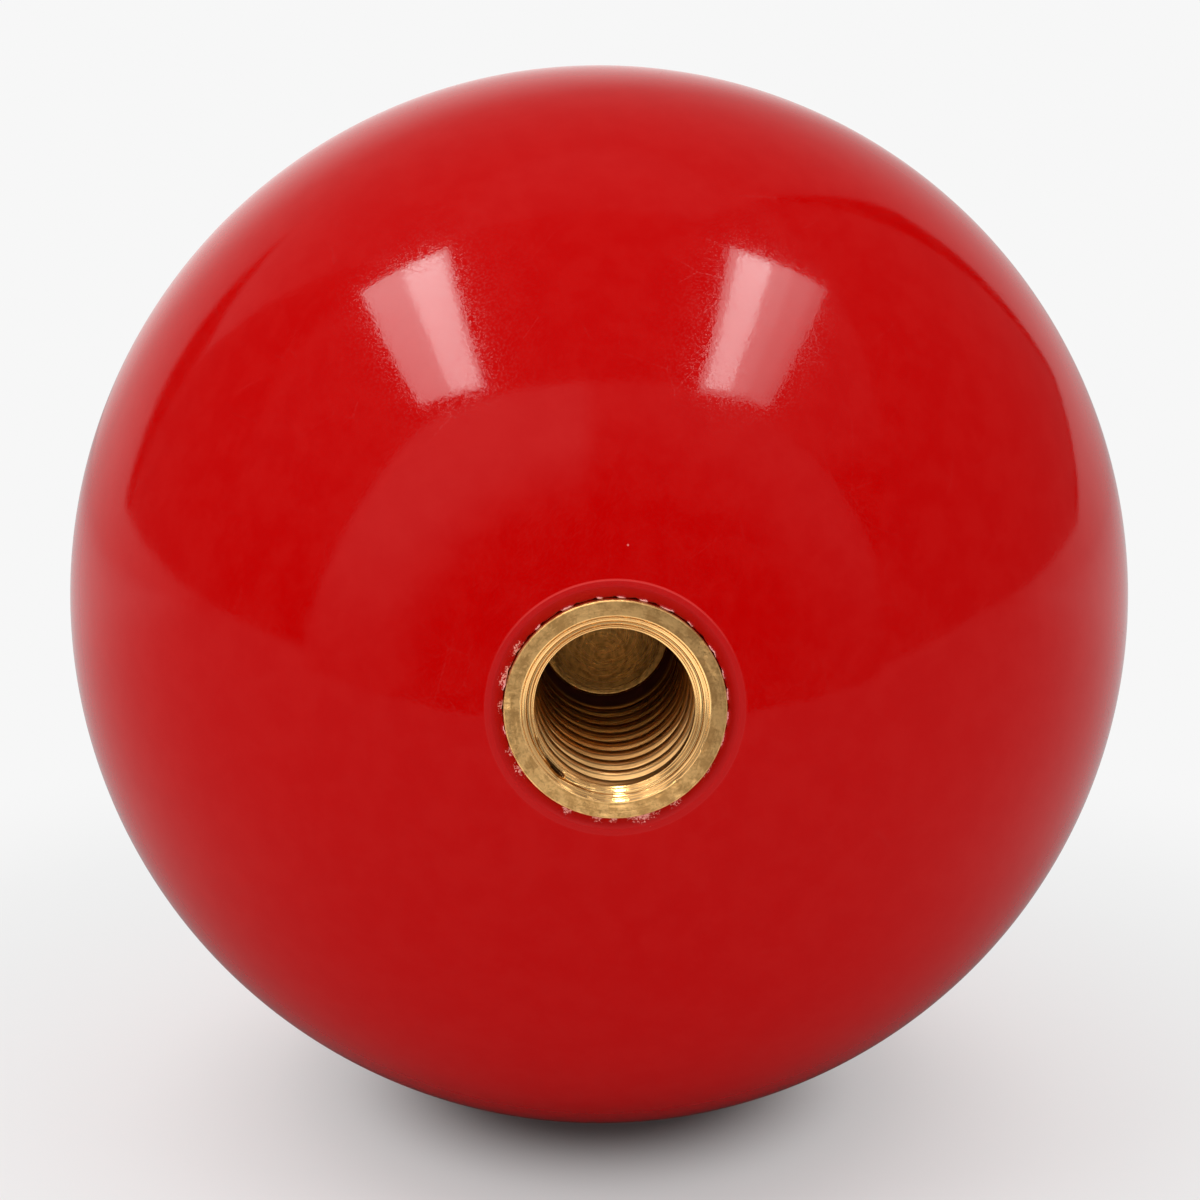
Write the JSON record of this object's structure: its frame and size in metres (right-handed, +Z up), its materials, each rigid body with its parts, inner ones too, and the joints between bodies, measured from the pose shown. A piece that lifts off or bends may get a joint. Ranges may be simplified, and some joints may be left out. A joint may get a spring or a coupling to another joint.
{
  "type": "ball knob",
  "caption": "Glossy red ball knob with a blind threaded brass insert knurled into a small spot-faced flat; screws onto a lever or stud.",
  "frame": {"origin": "on the bore's axis where the tapped wall starts, at the foot of the countersink, 0.48 mm inside the insert's face", "axes": "-Y out of the bore's mouth along its axis, +Y into the ball, +Z up as the knob lies in the picture"},
  "size_m": [0.0444, 0.0442, 0.0444],
  "materials": {
    "red_plastic": "polished red phenolic with fine hairlines",
    "brass": "turned and tapped brass, bright in the mouth and dull on the face"
  },
  "bodies": {
    "root": {"ball": "red_plastic", "threaded_insert": "brass"}
  },
  "joints": []
}
